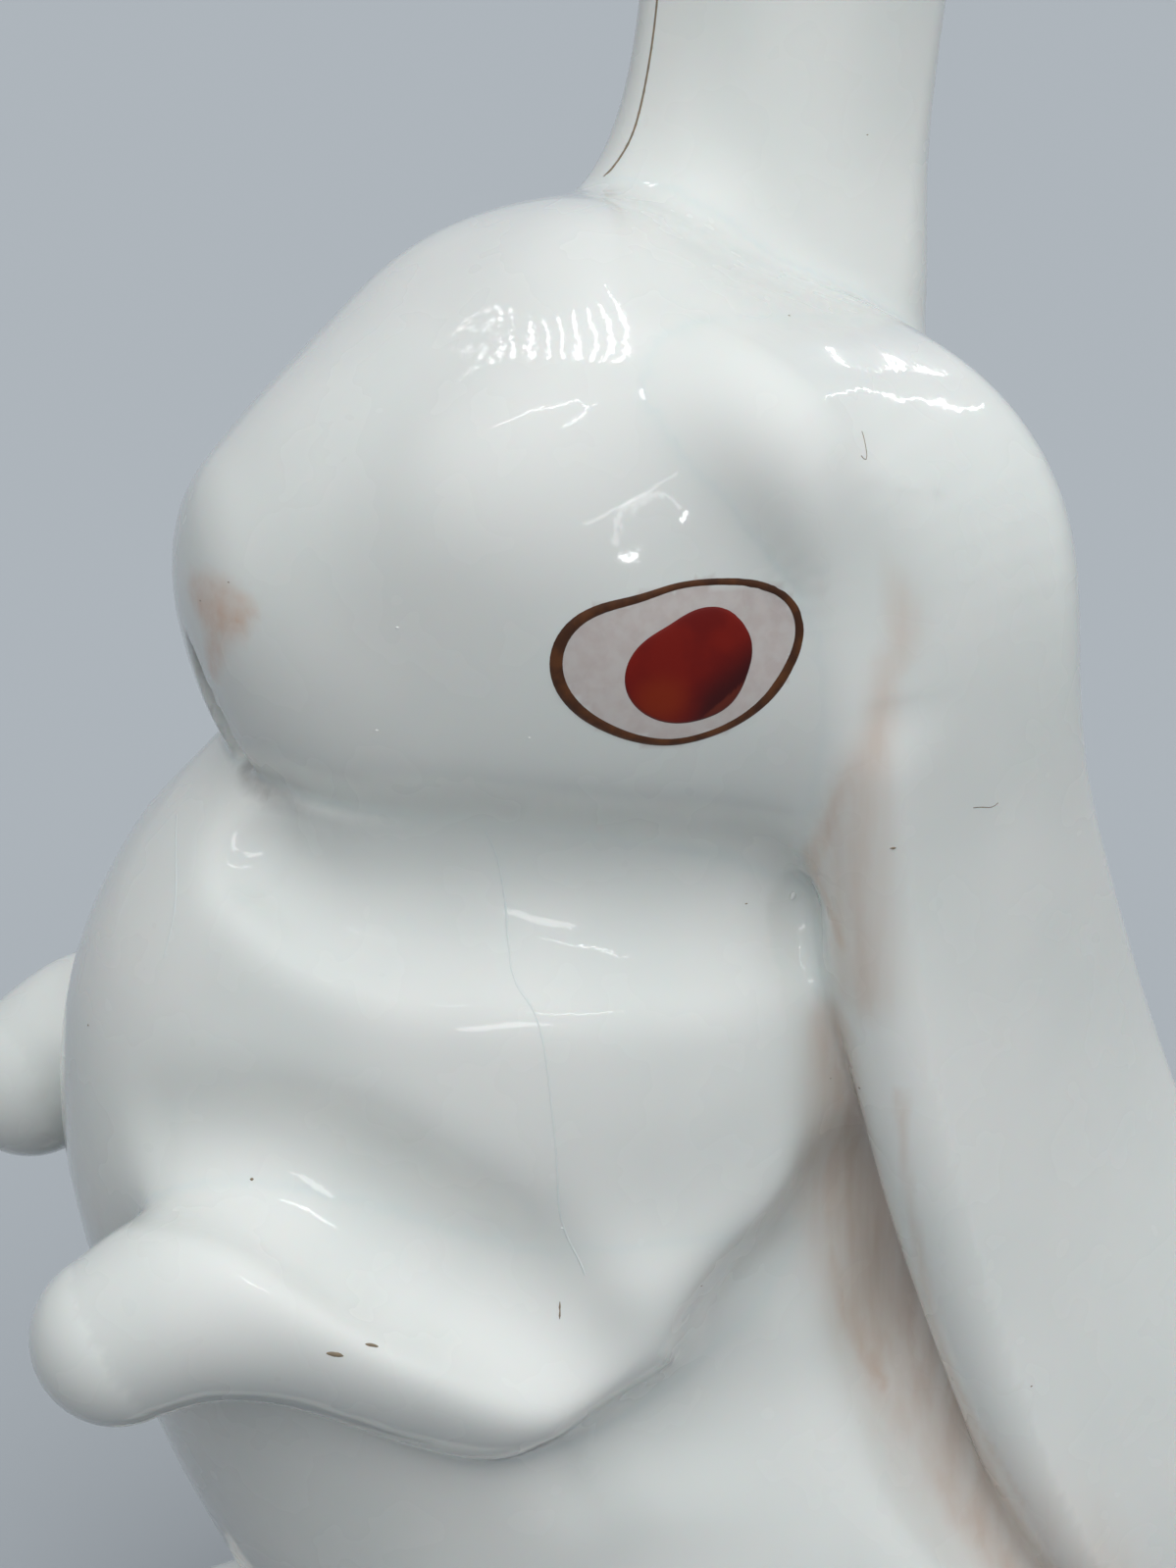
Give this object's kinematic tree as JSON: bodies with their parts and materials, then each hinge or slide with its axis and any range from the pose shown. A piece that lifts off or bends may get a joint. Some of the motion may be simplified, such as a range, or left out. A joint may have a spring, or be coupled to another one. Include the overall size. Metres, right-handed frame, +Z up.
{
  "type": "rabbit figurine",
  "caption": "Porcelain rabbit sitting up on its haunches, forepaws held out, one ear raised and one ear folded down along the back; an ornament that stands on a flat foot.",
  "frame": {"origin": "on the flat foot face, under the middle of the head", "axes": "+X to the rabbit's left, +Y to its back, +Z up"},
  "size_m": [0.0408, 0.0639, 0.1476],
  "materials": {
    "glaze": "clear glossy glaze over white porcelain",
    "bisque": "unglazed fired porcelain, matt",
    "enamel_brown": "fired overglaze enamel line",
    "enamel_red": "fired overglaze enamel, glossy"
  },
  "bodies": {
    "root": {"trunk": "glaze", "head": "glaze", "upright_ear": "glaze", "lop_ear": "glaze", "left_forepaw": "glaze", "right_forepaw": "glaze", "left_hind_foot": "glaze", "right_hind_foot": "glaze", "tail": "glaze", "base_plate": "bisque"}
  },
  "joints": []
}
